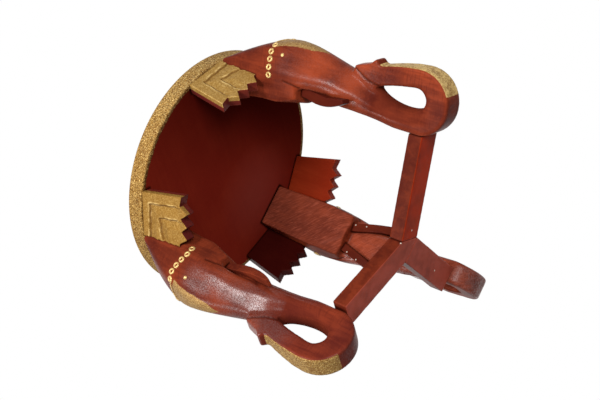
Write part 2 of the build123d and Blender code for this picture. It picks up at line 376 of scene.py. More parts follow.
def leg_finish(
    name, heading, warmth, shade, strip_painted_light, low_polish, gloss, gloss_band, loop_shade
):
    """Lacquer with the gold forehead and the gold strip round the curled trunk's end.

    warmth reddens the trunk, shade darkens the block and loop_shade the loop, the strip's
    painted light makes the gold strip paler in patches, gloss and gloss_band polish the head
    and the trunk, and low_polish carries the polish down to the foot. The grooves, the joints
    and the loop's inner wall get painted shade.
    """
    finish = Finish(name, Specular_IOR_Level=0.02, Coat_Roughness=0.29)
    turn = Matrix.Rotation(math.radians(-heading), 3, "Z")
    point = finish.mapped(finish.coordinates(), -heading, turn @ -SEAT_CENTRE)
    radius, across, height_up = finish.split(point)
    depth = SEAT_UNDERSIDE - height_up
    wobble = (finish.noise(point, 190.0, 2.0) - 0.5) * 0.0022
    facing = finish.mapped(finish.coordinates("Normal"), -heading)
    facing_out, facing_across, facing_up = finish.split(facing)
    from_centre = facing_out * (radius - LOOP_CENTRE[0]) + facing_up * (height_up - LOOP_CENTRE[1])
    forehead = forehead_mask(radius, across, depth, wobble)
    strip = strip_mask(radius, depth, wobble, facing_across, from_centre)
    paint = (forehead + strip).clamped()
    wood_tone, wood_roughness, wood_height = lacquer_parts(finish, point)
    wood_tone = scratched(finish, wood_tone, radius, across, height_up, facing_out)
    inner_wall = from_centre.below(-0.002, 0.003) * height_up.below(0.10, 0.02)
    trunk = depth.above(0.115, 0.03)
    glow = finish.noise(point, 30.0, 3.0).above(0.48, 0.20) * depth.below(0.225, 0.07)
    wood_tone = finish.blend(trunk * glow * warmth, wood_tone, ORANGE_RED)
    block_side = (1.0 - trunk) * (0.3 + 0.7 * radius.above(0.145, 0.02))
    wood_tone = finish.blend(shade * block_side, wood_tone, DEEP_RED)
    wood_tone = finish.blend(depth.above(0.200, 0.04) * loop_shade, wood_tone, PURPLE_BROWN)
    # Painted shade on the inner wall of the loop's hole.
    wood_tone = finish.blend(inner_wall * 0.35, wood_tone, DEEP_RED)
    # Painted shade, near black, in the mouth's and the curl seam's grooves and along the top where
    # the leg meets the seat.
    wood_tone = finish.blend(finish.mark("crease_shade") * 0.85, wood_tone, NEARLY_BLACK)
    gold_tone, gold_roughness, gold_height = leg_gold(finish, point, forehead, strip, strip_painted_light)
    roughness = wood_roughness * (1.0 - paint) + gold_roughness * paint
    roughness = roughness + inner_wall * 0.5
    height = wood_height * (1.0 - paint) + gold_height * paint * 1.2
    specks = finish.noise(point, 780.0, 2.0, 0.7).above(0.50, 0.16)
    polish_and_sheen = 0.35 + 0.65 * finish.noise(point, 28.0, 2.0).above(0.46, 0.24)
    polish = polish_mask(radius, depth, height_up, facing_across, inner_wall, low_polish)
    band = depth.above(0.138, 0.04) * depth.below(0.246, 0.03) * gloss_band
    coat = ((0.15 + 0.85 * specks) * polish_and_sheen * gloss).most(band * (0.25 + 0.75 * specks))
    wood_tone = finish.blend(polish * band * 0.35, wood_tone, DEEP_RED)
    return finish.feed(
        Base_Color=finish.blend(paint, wood_tone, gold_tone), Roughness=roughness,
        Metallic=paint * 0.25, Coat_Weight=polish * coat * (1.0 - paint),
        Normal=finish.bump(height, 0.00035, 0.6),
    )


def seat_finish():
    """Lacquered top and underside, and a hammered gold rim that strays a little inwards.

    The underside is darkest towards the far side, with a paler patch of painted reflection near
    the left leg and painted shade along the joints of the legs and ears; the rim's gold has
    painted shade on its front.
    """
    finish = Finish("seat lacquer and gold rim", Specular_IOR_Level=0.0)
    point = finish.mapped(finish.coordinates(), 0.0, -SEAT_CENTRE)
    x, y, z = finish.split(point)
    radius = (x * x + y * y).root()
    wobble = (finish.noise(point, 120.0, 3.0) - 0.5) * 0.0035
    rim = (radius + wobble).above(0.1450, 0.0008)
    upper = z.above(0.31, 0.002)
    rim = (rim * (1.0 - upper) + (radius + wobble * 0.6).above(0.1478, 0.0008) * upper).clamped()
    inner_strip = radius.below(0.1482, 0.0008) * z.below(0.301, 0.001) * rim
    board = finish.node("ShaderNodeCombineXYZ", None, z, y, x)
    wood_tone, wood_roughness, wood_height = lacquer_parts(finish, board)
    under = z.below(0.31, 0.002)
    wood_tone = finish.blend(0.45 * (1.0 - under), wood_tone, RED_BROWN)
    far_side = ((x * 0.75 + y * 0.55 - 0.045) / 0.11 + 0.5).clamped()
    # A paler patch of painted reflection on the underside near the left leg.
    from_sheen_x, from_sheen_y = x + 0.064, y - 0.034
    from_sheen = (from_sheen_x * from_sheen_x + from_sheen_y * from_sheen_y).root()
    polish_and_sheen = from_sheen.below(0.042, 0.06)
    wood_tone = finish.blend(0.86 * under, wood_tone, UNDERSIDE_RED)
    wood_tone = finish.blend(0.75 * far_side * under, wood_tone, DARK_UNDERSIDE)
    wood_tone = finish.blend(0.70 * polish_and_sheen * under, wood_tone, UNDERSIDE_SHEEN)
    joint_shade = finish.mark("joint_shade")
    # Painted shade, near black, where the legs and ears meet the underside.
    wood_tone = finish.blend((joint_shade * 1.5).clamped() * 0.92, wood_tone, NEARLY_BLACK)
    gold_tone, gold_roughness, gold_height = gold_parts(finish, point, 430.0, 1.0, 0.75, 0.6)
    smear = inner_strip * (0.35 + 0.55 * finish.noise(point, 320.0, 3.0, 0.7).above(0.48, 0.12))
    gold_tone = finish.blend(smear, gold_tone, BROWN_SMEAR)
    # Painted shade on the rim's gold towards the front.
    gold_tone = finish.blend(y.below(-0.07, 0.12), gold_tone, SHADE_TINT, "MULTIPLY")
    tone = finish.blend(rim, wood_tone, gold_tone)
    roughness = wood_roughness * (1.0 - rim) + gold_roughness * rim
    height = wood_height * (1.0 - rim) * 0.5 + gold_height * rim * 1.6
    return finish.feed(
        Base_Color=tone, Roughness=roughness, Metallic=rim * 0.25,
        Normal=finish.bump(height, 0.0007, 0.9),
    )


def ear_finish():
    """Gold on the outward face, paler on the carved edges, partly worn and partly a painted
    highlight, with painted shade in the grooves, and lacquer behind.
    """
    finish = Finish("ear gold and lacquer", Specular_IOR_Level=0.03)
    point = finish.coordinates()
    paint = finish.mark("gold")
    crease_shade = finish.mark("crease_shade")
    edge = finish.mark("edge")
    arris, hollow_shade = arris_wear_and_hollow_shade(finish)
    wood_tone, wood_roughness, wood_height = lacquer_parts(finish, point)
    # Each ear's lacquer is painted as lit, shaded or plain: a painted shadow on one far ear,
    # painted light on the other, a purple-brown tone on the rest.
    ear_light_shade = finish.mark("ear_light_shade")
    in_shade = ear_light_shade.above(0.75, 0.1)
    wood_tone = finish.blend(ear_light_shade.above(0.25, 0.1) * 0.60, wood_tone, PURPLE_BROWN)
    wood_tone = finish.blend(in_shade * 0.85, wood_tone, DARK_UNDERSIDE)
    wood_tone = finish.blend(ear_light_shade.below(0.25, 0.1) * 0.55, wood_tone, LIT_RED)
    # Painted highlight in patches on the lacquer's arrises, left off the ear in painted shadow.
    painted_sheen = arris * finish.noise(point, 240.0, 2.0, 0.6).above(0.48, 0.2)
    wood_tone = finish.blend(painted_sheen * (1.0 - in_shade) * 0.6, wood_tone, PALE_RED)
    gold_tone, gold_roughness, gold_height = gold_parts(finish, point, 300.0, 0.4)
    gold_tone = finish.blend(0.68, gold_tone, EAR_GOLD)
    # Painted shade on the ears' gold towards the front.
    front_shade = finish.split(point)[1].below(-0.05, 0.10)
    gold_tone = finish.blend(front_shade, gold_tone, SHADE_TINT, "MULTIPLY")
    worn = finish.noise(point, 110.0, 2.0, 0.6).above(0.52, 0.22)
    # Paler on the carved step edges and arrises, partly worn gold and partly a painted highlight.
    gold_tone = finish.blend((edge * 0.7).most(arris) * worn * 0.80, gold_tone, PALE_GOLD)
    # Painted shade in the carved grooves and hollows.
    gold_tone = finish.blend(crease_shade.most(hollow_shade * 0.5) * 0.8, gold_tone, DARK_GOLD)
    paint = paint.above(0.5, 0.5)
    tone = finish.blend(paint, wood_tone, gold_tone)
    roughness = wood_roughness * (1.0 - paint) + gold_roughness * paint
    height = wood_height * (1.0 - paint) + gold_height * paint * 0.5
    return finish.feed(
        Base_Color=tone, Roughness=roughness, Metallic=paint * 0.25,
        Normal=finish.bump(height, 0.0003, 0.6),
    )


def bead_finish():
    finish = Finish("raised gold paint", Specular_IOR_Level=0.5, Metallic=0.4)
    point = finish.coordinates()
    tone = finish.blend(finish.noise(point, 900.0).above(0.5, 0.3), GOLD, PALE_GOLD)
    roughness = 0.25 + 0.2 * finish.noise(point, 500.0)
    return finish.feed(Base_Color=tone, Roughness=roughness)


def dowel_finish():
    finish = Finish("bare dowel wood", Specular_IOR_Level=0.3)
    point = finish.coordinates()
    grain = finish.noise(finish.mapped(point, scale=(1.0, 1.0, 0.1)), 600.0, 3.0)
    tone = finish.blend(grain.above(0.5, 0.3), BARE_WOOD, DARK_GRAIN)
    return finish.feed(
        Base_Color=tone, Roughness=0.6 + 0.2 * grain, Normal=finish.bump(grain, 0.0002, 0.5)
    )


def pin_finish():
    finish = Finish("worn pin heads")
    point = finish.coordinates()
    grain = finish.noise(point, 2000.0)
    tone = finish.blend(grain.above(0.5, 0.3), PIN_METAL, WORN_METAL)
    return finish.feed(Base_Color=tone, Roughness=0.3 + 0.2 * grain)


# ---------------------------------------------------------------------------
# Mesh tools

def new_piece(name, mesh, material):
    """Link a finished mesh as a piece, dress it and let it ride on the stool."""
    piece = bpy.data.objects.new(name, mesh)
    scene.collection.objects.link(piece)
    mesh.materials.clear()
    mesh.materials.append(material)
    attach(piece, "root")
    return piece


def evaluated(mesh, *modifiers, weights=None):
    """The mesh that these modifiers give, with none of them left live."""
    holder = bpy.data.objects.new("holder", mesh)
    scene.collection.objects.link(holder)
    if weights:
        group = holder.vertex_groups.new(name="softness")
        for index, weight in enumerate(weights):
            group.add([index], weight, "REPLACE")
    for kind, settings in modifiers:
        modifier = holder.modifiers.new(kind, kind)
        for setting, value in settings.items():
            setattr(modifier, setting, value)
    graph = bpy.context.evaluated_depsgraph_get()
    made = bpy.data.meshes.new_from_object(holder.evaluated_get(graph))
    bpy.data.objects.remove(holder)
    return made


def merged_copy(node, turned=None):
    """A welded copy of a CAD node's mesh, turned into a frame of its own if one is given."""
    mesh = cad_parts[node].data.copy()
    if turned:
        mesh.transform(turned)
    work = bmesh.new()
    work.from_mesh(mesh)
    bmesh.ops.remove_doubles(work, verts=work.verts, dist=0.000005)
    work.to_mesh(mesh)
    work.free()
    return mesh


def carved(node, voxel, rounds, turned=None):
    """A CAD node's mesh with its knife-sharp arrises worn round, as carving leaves them."""
    return evaluated(
        merged_copy(node, turned),
        ("REMESH", {"mode": "VOXEL", "voxel_size": voxel, "use_smooth_shade": True}),
        ("SMOOTH", {"factor": 0.5, "iterations": rounds}),
    )


def into_leg_frame(heading):
    """From the stool's frame to the leg's own."""
    return Matrix.Rotation(math.radians(-heading), 4, "Z") @ Matrix.Translation(-SEAT_CENTRE)


def keep_inside_box(mesh):
    """Hold a carved mesh inside the CAD model's own box, the floor among its sides."""
    low, high = cad_box
    for vertex in mesh.vertices:
        for axis in range(3):
            vertex.co[axis] = max(low[axis], min(high[axis], vertex.co[axis]))


def finished_mesh(work, name):
    """A mesh of a bmesh that is done with."""
    mesh = bpy.data.meshes.new(name)
    work.to_mesh(mesh)
    work.free()
    return mesh


def surface_of(mesh):
    """A mesh's surface, to find the nearest place on it or where a ray meets it."""
    work = bmesh.new()
    work.from_mesh(mesh)
    surface = BVHTree.FromBMesh(work)
    work.free()
    return surface


def shade_smooth(mesh):
    mesh.polygons.foreach_set("use_smooth", [True] * len(mesh.polygons))


FULL_WEAR = 0.00035                 # how far a fully worn arris stands out
JOINT_SHADE_REACH = 0.0022                 # how far the painted shade reaches from where two pieces meet
SEAT_JOINT_SHADE_REACH = 0.003


def mark_wear(mesh):
    """Note on each vertex how far it stands out from its neighbours, or lies in from them."""
    count = len(mesh.vertices)
    places = numpy.empty(count * 3)
    normals = numpy.empty(count * 3)
    ends = numpy.empty(len(mesh.edges) * 2, dtype=int)
    mesh.vertices.foreach_get("co", places)
    mesh.vertices.foreach_get("normal", normals)
    mesh.edges.foreach_get("vertices", ends)
    places = places.reshape(-1, 3)
    starts, stops = ends[0::2], ends[1::2]
    both, other = numpy.concatenate((starts, stops)), numpy.concatenate((stops, starts))
    neighbours = numpy.bincount(both, minlength=count)
    middle = places
    for _ in range(3):
        middle = numpy.stack([
            numpy.bincount(both, weights=middle[other, axis], minlength=count) / neighbours
            for axis in range(3)
        ], axis=1)
    stand = ((places - middle) * normals.reshape(-1, 3)).sum(axis=1)
    wear_or_hollow_shade = mesh.attributes.new("wear_or_hollow_shade", "FLOAT", "POINT")
    wear_or_hollow_shade.data.foreach_set("value", numpy.clip(stand / FULL_WEAR, -1.0, 1.0))


def mark_joints(mesh, *nodes, reach=JOINT_SHADE_REACH):
    """Note on each vertex how near it lies to the pieces that it is glued to, for the painted
    shade along the joints.
    """
    joint_shade = mesh.attributes.new("joint_shade", "FLOAT", "POINT")
    values = [0.0] * len(mesh.vertices)
    for node in nodes:
        surface = surface_of(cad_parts[node].data)
        for index, vertex in enumerate(mesh.vertices):
            distance = surface.find_nearest(vertex.co, reach)[3]
            if distance is not None:
                values[index] = max(values[index], 1.0 - distance / reach)
    joint_shade.data.foreach_set("value", values)


def pieces_of(name, *kinds):
    """The nodes of these kinds at one leg, one for each hand."""
    return [kind + "_" + name + "_" + hand for kind in kinds for hand in HANDS]


# ---------------------------------------------------------------------------
# Seat

SEAT_ARRIS = 0.0016                 # the round on the rim's two edges
SEAT_STEPS = 380
UNDERSIDE_RINGS = [0.0, 0.03, 0.06] + [0.078 + 0.0022 * step for step in range(31)]
RIM_RINGS = [0.302, 0.3045, 0.307, 0.3095, 0.312, 0.3145, 0.317]
TOP_RINGS = [0.1445, 0.12, 0.08, 0.04, 0.0]


def seat_profile():
    """The seat's section as (radius, height), from its underside round the rim to its top."""
    profile = [(radius, SEAT_UNDERSIDE) for radius in UNDERSIDE_RINGS]
    inset = SEAT_RADIUS - SEAT_ARRIS
    for step in range(1, 4):
        angle = math.radians(30 * step)
        profile.append((
            inset + SEAT_ARRIS * math.sin(angle),
            SEAT_UNDERSIDE + SEAT_ARRIS - SEAT_ARRIS * math.cos(angle),
        ))
    profile += [(SEAT_RADIUS, height) for height in RIM_RINGS]
    for step in range(3):
        angle = math.radians(30 * step)
        profile.append((
            inset + SEAT_ARRIS * math.cos(angle),
            SEAT_TOP - SEAT_ARRIS + SEAT_ARRIS * math.sin(angle),
        ))
    return profile + [(radius, SEAT_TOP) for radius in TOP_RINGS]


def make_seat():
    """The seat board, spun in fine rings so that the painted shade along its joints shows on its
    underside.
    """
    work = bmesh.new()
    profile = seat_profile()
    verts = [work.verts.new((radius, 0.0, height)) for radius, height in profile]
    edges = [work.edges.new(pair) for pair in zip(verts, verts[1:])]
    bmesh.ops.spin(
        work, geom=verts + edges, cent=(0, 0, 0), axis=(0, 0, 1),
        angle=math.tau, steps=SEAT_STEPS, use_merge=True,
    )
    bmesh.ops.remove_doubles(work, verts=work.verts, dist=0.00001)
    bmesh.ops.recalc_face_normals(work, faces=work.faces)
    bmesh.ops.translate(work, verts=work.verts, vec=SEAT_CENTRE)
    mesh = finished_mesh(work, "seat board")
    keep_inside_box(mesh)
    glued = ["leg_" + name for name in LEG_HEADINGS]
    glued += [ear for name in LEG_HEADINGS for ear in pieces_of(name, "ear")]
    mark_joints(mesh, *glued, reach=SEAT_JOINT_SHADE_REACH)
    shade_smooth(mesh)
    piece = new_piece("seat_board", mesh, seat_finish())
    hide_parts("seat")


# ---------------------------------------------------------------------------
# Legs, with their gold beads

def dome(work, place, normal, radius, rise):
    """A low round drop on a surface."""
    turn = normal.to_track_quat("Z", "Y").to_matrix().to_4x4()
    shape = Matrix.Diagonal((radius, radius, rise, 1.0))
    bmesh.ops.create_uvsphere(
        work, u_segments=14, v_segments=8, radius=1.0,
        matrix=Matrix.Translation(place) @ turn @ shape,
    )


def ring(work, place, normal, outer, wire):
    """A raised ring of paint, made flat in a mesh of its own and then set on the surface."""
    part = bmesh.new()
    circle = bmesh.ops.create_circle(
        part, segments=8, radius=wire,
        matrix=Matrix.Translation((outer - wire, 0, 0)) @ Matrix.Rotation(math.pi / 2, 4, "X"),
    )["verts"]
    edges = list({edge for vertex in circle for edge in vertex.link_edges})
    bmesh.ops.spin(
        part, geom=circle + edges, cent=(0, 0, 0), axis=(0, 0, 1),
        angle=math.tau, steps=18, use_merge=True,
    )
    bmesh.ops.remove_doubles(part, verts=part.verts, dist=0.00001)
    turn = normal.to_track_quat("Z", "Y").to_matrix().to_4x4()
    bmesh.ops.transform(part, verts=part.verts, matrix=Matrix.Translation(place) @ turn)
    bmesh.ops.recalc_face_normals(part, faces=part.faces)
    scrap = finished_mesh(part, "ring")
    work.from_mesh(scrap)
    bpy.data.meshes.remove(scrap)


# Places on a leg's side are (radius, depth), with the depth down from the seat's underside.
BEADS = {
    "front": [
        (0.1426, 0.0746), (0.1512, 0.0748), (0.1588, 0.0716),
        (0.1661, 0.0687), (0.1734, 0.0668), (0.1800, 0.0678),
    ],
    "right": [
        (0.1500, 0.0780), (0.1583, 0.0757), (0.1665, 0.0735),
        (0.1743, 0.0716), (0.1810, 0.0722),
    ],
    "left": [
        (0.1460, 0.0765), (0.1545, 0.0755), (0.1622, 0.0732),
        (0.1697, 0.0708), (0.1768, 0.0695),
    ],
}
FOOT_SHIFTS = {"front": 0.0, "right": 0.0, "left": -0.0055}
LEG_TONES = {
    "front": dict(
        warmth=0.20, shade=0.35, strip_painted_light=0.0, low_polish=0.3,
        gloss=0.75, gloss_band=1.0, loop_shade=0.35,
    ),
    "right": dict(
        warmth=0.55, shade=0.30, strip_painted_light=0.65, low_polish=0.3,
        gloss=0.4, gloss_band=0.0, loop_shade=0.10,
    ),
    "left": dict(
        warmth=0.10, shade=0.20, strip_painted_light=0.2, low_polish=1.0,
        gloss=1.5, gloss_band=0.0, loop_shade=0.0,
    ),
}
# Depth, and there the radius of the trunk's edge at the loop's hole and half its width
TRUNK_EDGES = [
    (0.190, 0.1640, 0.0195), (0.204, 0.1610, 0.0185), (0.212, 0.1583, 0.0179),
    (0.220, 0.1542, 0.0170), (0.236, 0.1496, 0.0159), (0.252, 0.1488, 0.0153),
    (0.260, 0.1508, 0.0150), (0.268, 0.1552, 0.0143), (0.280, 0.1600, 0.0138),
]
EYE = (0.1738, 0.0878)
MOUTH = [(0.1470, 0.0980), (0.1450, 0.1100), (0.1415, 0.1200)]
CURL_SEAM = [
    (0.1800, 0.1750), (0.1725, 0.1870), (0.1680, 0.1950), (0.1662, 0.2030), (0.1645, 0.2110),
]
LEG_VOXEL = 0.0013
CUT_DEPTH = 0.0016                  # of the mouth and the curl's seam
MOUTH_REACH = 0.0024
SEAM_REACH = 0.0022
RING_RADIUS, RING_WIRE = 0.0039, 0.0013
EYE_RADIUS, EYE_RISE = 0.0022, 0.0011
BROW_DEPTH = 0.0672
BROW_DROP = 0.0030                  # how much lower the brow line's ends lie
BROW_HALF_WIDTH = 0.0178
BROW_LINE_RADIUS = 0.0009
BROW_LINE_STEPS = 34


def distance_to_line(x, y, points):
    best = 1.0
    for (ax, ay), (bx, by) in zip(points, points[1:]):
        dx, dy = bx - ax, by - ay
        share = max(0.0, min(1.0, ((x - ax) * dx + (y - ay) * dy) / (dx * dx + dy * dy)))
        best = min(best, math.hypot(x - ax - share * dx, y - ay - share * dy))
    return best


def ramp(value, start, end):
    return max(0.0, min(1.0, (value - start) / (end - start)))


def softness(place):
    """How far carving has worn a place of a leg round: the head and trunk most."""
    radius, _, height = place
    depth = SEAT_UNDERSIDE - height
    head = ramp(height, 0.124, 0.142)
    trunk = ramp(radius, 0.158, 0.148) * ramp(height, 0.026, 0.046)
    soft = max(0.10, head, trunk)
    soft = min(soft, 0.10 + ramp(depth, 0.003, 0.020))
    hub_side = 0.08 + ramp(radius, 0.126, 0.146)
    cheek = 0.06 + ramp(radius, 0.138, 0.156)
    cheek += ramp(depth, 0.108, 0.098) + ramp(depth, 0.126, 0.138)
    return min(soft, cheek, hub_side if depth < 0.118 else 0.55 + hub_side)


def round_trunk(mesh):
    """Turn the trunk's square section round on the side of the loop's hole."""
    middle = 0.1365
    for vertex in mesh.vertices:
        radius, across, height = vertex.co
        depth = SEAT_UNDERSIDE - height
        if radius < middle or not TRUNK_EDGES[0][0] < depth < TRUNK_EDGES[-1][0]:
            continue
        for before, after in zip(TRUNK_EDGES, TRUNK_EDGES[1:]):
            if before[0] <= depth <= after[0]:
                share = (depth - before[0]) / (after[0] - before[0])
                edge = before[1] + share * (after[1] - before[1])
                half = before[2] + share * (after[2] - before[2])
        if radius > edge + 0.0015:
            continue
        u = (radius - middle) / (edge - middle)
        v = abs(across) / half
        squareness = 1.0 - max(u, v) / max(math.hypot(u, v), 0.001)
        amount = 0.85 * ramp(depth, 0.190, 0.208) * ramp(depth, 0.276, 0.258)
        pull = 1.0 - amount * squareness
        vertex.co.x = middle + (radius - middle) * pull
        vertex.co.y = across * pull


def carved_leg(node, to_leg, foot_shift):
    """The leg with its arrises worn round, its mouth cut and the curl's seam scored."""
    rough = evaluated(
        merged_copy(node, to_leg),
        ("REMESH", {"mode": "VOXEL", "voxel_size": LEG_VOXEL, "use_smooth_shade": True}),
    )
    round_trunk(rough)
    weights = [softness(vertex.co) for vertex in rough.vertices]
    mesh = evaluated(
        rough,
        ("SMOOTH", {"factor": 0.5, "iterations": 5}),
        ("SMOOTH", {"factor": 0.8, "iterations": 110, "vertex_group": "softness"}),
        ("DISPLACE", {"strength": 0.0012, "mid_level": 0.0, "vertex_group": "softness"}),
        ("SMOOTH", {"factor": 0.8, "iterations": 60, "vertex_group": "softness"}),
        weights=weights,
    )
    for vertex in mesh.vertices:
        vertex.co.y += foot_shift * ramp(vertex.co.z, 0.090, 0.030)
    mark_wear(mesh)
    # Painted shade goes in the mouth's and the curl seam's grooves.
    crease_shade = mesh.attributes.new("crease_shade", "FLOAT", "POINT")
    normals = [vertex.normal.copy() for vertex in mesh.vertices]
    for index, (vertex, normal) in enumerate(zip(mesh.vertices, normals)):
        radius, _, height = vertex.co
        depth = SEAT_UNDERSIDE - height
        if abs(normal.y) > 0.35:
            mouth = distance_to_line(radius, depth, MOUTH)
            seam = distance_to_line(radius, depth, CURL_SEAM)
            cut = max(0.0, 1.0 - mouth / MOUTH_REACH) + max(0.0, 1.0 - seam / SEAM_REACH)
            vertex.co -= normal * cut * CUT_DEPTH
            crease_shade.data[index].value = max(0.0, 1.0 - min(mouth, seam) / 0.0016)
        # Painted shade along the top, where the leg meets the seat.
        if height > SEAT_UNDERSIDE - 0.0012:
            crease_shade.data[index].value = 1.0
    return mesh


def add_brow_line(work, surface):
    """A thin raised line of paint across the brow, sagging towards its ends."""
    line = []
    for step in range(BROW_LINE_STEPS + 1):
        share = step / BROW_LINE_STEPS * 2 - 1
        depth = BROW_DEPTH + BROW_DROP * share * share + 0.0008 * math.sin(step * 1.7)
        start = Vector((0.22, share * BROW_HALF_WIDTH, SEAT_UNDERSIDE - depth))
        place, normal, _, _ = surface.ray_cast(start, Vector((-1, 0, 0)))
        line.append(place + normal * 0.0002)
    curve = bpy.data.curves.new("brow line", "CURVE")
    curve.dimensions = "3D"
    curve.bevel_depth = BROW_LINE_RADIUS
    curve.bevel_resolution = 2
    curve.use_fill_caps = True
    spline = curve.splines.new("POLY")
    spline.points.add(len(line) - 1)
    for point, place in zip(spline.points, line):
        point.co = (*place, 1.0)
    holder = bpy.data.objects.new("brow line", curve)
    work.from_mesh(bpy.data.meshes.new_from_object(holder))
    bpy.data.objects.remove(holder)


def make_gold_beads(name, surface, from_leg, material):
    """The rings, the eyes and the brow line, set on the carved leg's surface."""
    work = bmesh.new()
    for side in HANDS.values():
        def on_side(radius, depth):
            start = Vector((radius, side * 0.09, SEAT_UNDERSIDE - depth))
            return surface.ray_cast(start, Vector((0, -side, 0)))[:2]
        for radius, depth in BEADS[name]:
            ring(work, *on_side(radius, depth), RING_RADIUS, RING_WIRE)
        dome(work, *on_side(*EYE), EYE_RADIUS, EYE_RISE)
    add_brow_line(work, surface)
    bmesh.ops.transform(work, verts=work.verts, matrix=from_leg)
    beads = finished_mesh(work, "gold beads")
    shade_smooth(beads)
    new_piece("gold_beads_" + name, beads, material)


def make_leg(name, heading, bead_material):
    """A carved leg in its node's place, with its gold beads."""
    node = "leg_" + name
    to_leg = into_leg_frame(heading)
    from_leg = to_leg.inverted()
    mesh = carved_leg(node, to_leg, FOOT_SHIFTS[name])
    surface = surface_of(mesh)
    mesh.transform(from_leg)
    keep_inside_box(mesh)
    mark_joints(mesh, "seat", "stretcher_" + name, *pieces_of(name, "ear", "tusk"))
    shade_smooth(mesh)
    finish = leg_finish(name + " leg lacquer and gold", heading, **LEG_TONES[name])
    piece = new_piece("carved_leg_" + name, mesh, finish)
    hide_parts(node)
    make_gold_beads(name, surface, from_leg, bead_material)


# ---------------------------------------------------------------------------
# Ears

# The carved steps' edges, as places on the ear's face in its own frame
EAR_GROOVES = [
    [(0.0530, -0.0110), (0.0120, -0.0120), (0.0035, -0.0520)],
    [(0.0500, -0.0310), (0.0250, -0.0270), (0.0200, -0.0550)],
]
EAR_VOXEL = 0.0008
EAR_RELIEF = 0.0021
STEP_SLOPE = 0.010                  # how far a step takes to rise on its low side
STEP_EDGE = 0.0011                  # and on its steep side
# How each ear's lacquer is painted: 1 a painted shadow, 0 painted light, half way plain.
EAR_LIGHT_SHADE = {"ear_left_a": 1.0, "ear_left_b": 0.0}     # the rest are half way


def ear_frame(heading, side):
    """From the ear's own frame to the stool's: X from its outer end to the leg, Z outwards."""
    half_angle = math.asin(EAR_LENGTH / 2 / SEAT_RADIUS)
    middle = math.radians(heading) + side * (math.radians(EAR_START) + half_angle)
    outwards = Vector((math.cos(middle), math.sin(middle), 0))
    along = Vector((math.sin(middle), -math.cos(middle), 0)) * side
    origin = SEAT_CENTRE + outwards * SEAT_RADIUS * math.cos(half_angle) - along * EAR_LENGTH / 2
    origin.z = SEAT_UNDERSIDE
    frame_matrix = Matrix.Identity(4)
    for axis, direction in enumerate((along, Vector((0, 0, 1)), outwards)):
        for row in range(3):
            frame_matrix[row][axis] = direction[row]
    frame_matrix.translation = origin
    return frame_matrix


def inside_groove(x, y, groove):
    """Whether a point of the ear's face lies on the side that a groove turns its elbow from."""
    (ax, ay), (bx, by), (cx, cy) = groove
    under_arm = (bx - ax) * (y - ay) - (by - ay) * (x - ax) > 0
    beside_arm = (cx - bx) * (y - by) - (cy - by) * (x - bx) > 0
    return under_arm and beside_arm


def make_ear(name, hand, material):
    """An ear with its steps carved into the outward face, and its gold noted on the mesh."""
    node = "ear_" + name + "_" + hand
    place = ear_frame(LEG_HEADINGS[name], HANDS[hand])
    mesh = carved(node, EAR_VOXEL, 3, place.inverted())
    gold, crease_shade, edge, ear_light_shade = (
        mesh.attributes.new(mark, "FLOAT", "POINT") for mark in ("gold", "crease_shade", "edge", "ear_light_shade")
    )
    # How lit or shaded each ear's lacquer is painted.
    ear_light_shade.data.foreach_set("value", [EAR_LIGHT_SHADE.get(node, 0.5)] * len(mesh.vertices))
    normals = [vertex.normal.copy() for vertex in mesh.vertices]
    for index, (vertex, normal) in enumerate(zip(mesh.vertices, normals)):
        x, y, z = vertex.co
        on_face = max(0.0, min(1.0, (z + 0.003) / 0.002))
        cut = 0.0
        dark = 0.0
        pale = 0.0
        wander = 0.0004 * math.sin(x * 420.0) + 0.0004 * math.sin(y * 350.0 + 1.0)
        for groove in EAR_GROOVES:
            reach = distance_to_line(x + wander, y + wander, groove)
            low_side = inside_groove(x, y, groove)
            cut = max(cut, 1.0 - reach / (STEP_SLOPE if low_side else STEP_EDGE))
            # Painted shade along each step's foot, and a painted highlight just beside its edge on
            # its high side.
            dark = max(dark, 1.2 - reach / STEP_EDGE)
            if not low_side:
                pale = max(pale, on_face * (1.3 - abs(reach - 2 * STEP_EDGE) / 0.0010))
        vertex.co.z -= on_face * EAR_RELIEF * max(0.0, cut)
        if normal.x < -0.6 and x < 0.010:
            painted = name != "left" and z > -0.0055
        else:
            painted = normal.z > (0.90 if name == "left" else 0.45)
        gold.data[index].value = 1.0 if painted else 0.0
        crease_shade.data[index].value = on_face * max(0.0, min(1.0, dark))
        edge.data[index].value = max(0.0, min(1.0, pale))
        if x > EAR_LENGTH / 2:
            vertex.co.x += (x / EAR_LENGTH - 0.5) * 2.0 * EAR_TO_LEG
    mesh.transform(place)
    keep_inside_box(mesh)
    mark_wear(mesh)
    mark_joints(mesh, "seat", "leg_" + name)
    shade_smooth(mesh)
    piece = new_piece("carved_" + node, mesh, material)
    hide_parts(node)


# ---------------------------------------------------------------------------
# Tusks, bars and dowels

TUSK_VOXEL = 0.0007
BAR_VOXEL = 0.0010
TUSK_TRIMS = {"tusk_front_a": (0.82, -0.001)}       # slimness and move towards the leg's back


def make_tusk(name, hand, material):
    """A tusk with its arrises worn round, made slimmer where it is trimmed."""
    node = "tusk_" + name + "_" + hand
    mesh = carved(node, TUSK_VOXEL, 5)
    if node in TUSK_TRIMS:
        slimness, move = TUSK_TRIMS[node]
        to_leg = into_leg_frame(LEG_HEADINGS[name])
        mesh.transform(to_leg)
        hub_edge = min(vertex.co.x for vertex in mesh.vertices)
        for vertex in mesh.vertices:
            vertex.co.x = hub_edge + move + (vertex.co.x - hub_edge) * slimness
        mesh.transform(to_leg.inverted())
    mark_wear(mesh)
    mark_joints(mesh, "leg_" + name)
    shade_smooth(mesh)
    piece = new_piece("carved_" + node, mesh, material)
    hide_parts(node)


